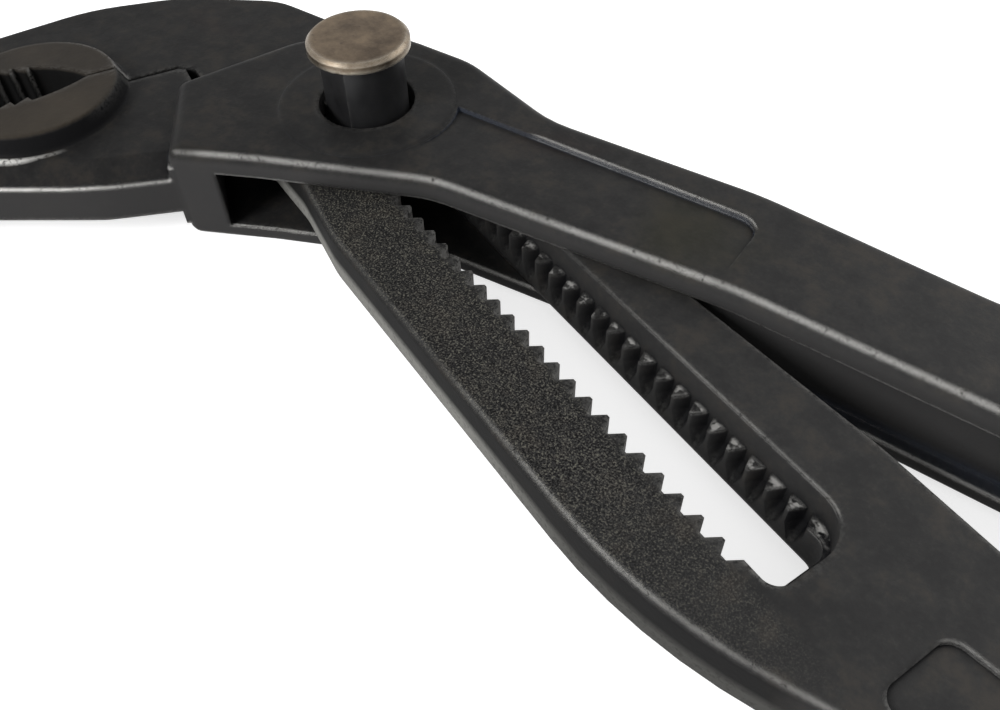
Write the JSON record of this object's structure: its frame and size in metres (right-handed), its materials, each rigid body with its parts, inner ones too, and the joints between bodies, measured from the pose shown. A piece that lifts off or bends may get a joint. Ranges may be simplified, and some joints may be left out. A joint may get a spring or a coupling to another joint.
{
  "type": "water pump pliers",
  "caption": "Slip-joint water pump pliers with a box joint, a long toothed slot, a push-button pivot and dipped handle grips.",
  "frame": {"origin": "on the pivot pin's axis, in the plane of the box's back face, which the pliers lie on", "axes": "+X runs from the pivot along the handles, +Z along the pivot pin towards its button, +Y across the handles towards the box arm's handle"},
  "size_m": [0.4028, 0.0789, 0.0256],
  "materials": {
    "forged_steel": "black oxide forging with worn edges",
    "pin_steel": "dark ground steel",
    "button_metal": "tarnished nickel over brass",
    "spring_steel": "bright spring steel",
    "grip_plastic": "dipped soft plastic"
  },
  "bodies": {
    "box_body": {"box_arm": "forged_steel", "box_arm_grip": "grip_plastic"},
    "carrier": {"return_spring": "spring_steel", "spring_washer": "spring_steel"},
    "slotted_body": {"slotted_arm": "forged_steel", "slotted_arm_grip": "grip_plastic"},
    "pin_body": {"pivot_pin": "pin_steel", "button_cap": "button_metal", "retaining_ring": "spring_steel"}
  },
  "joints": [
    {"name": "handle_hinge", "type": "hinge", "parent": "box_body", "child": "carrier", "pos_m": [0, 0, 0], "axis": [0, 0, -1], "range_deg": [0, 30]},
    {"name": "jaw_adjust", "type": "slide", "parent": "carrier", "child": "slotted_body", "axis": [-0.9379, 0.3469, 0], "range_m": [0, 0.072]},
    {"name": "button_press", "type": "slide", "parent": "carrier", "child": "pin_body", "axis": [0, 0, -1], "range_m": [0, 0.0029], "stiffness_N_per_m": 2000, "springref_m": -0.001, "deforming": ["return_spring"]}
  ]
}
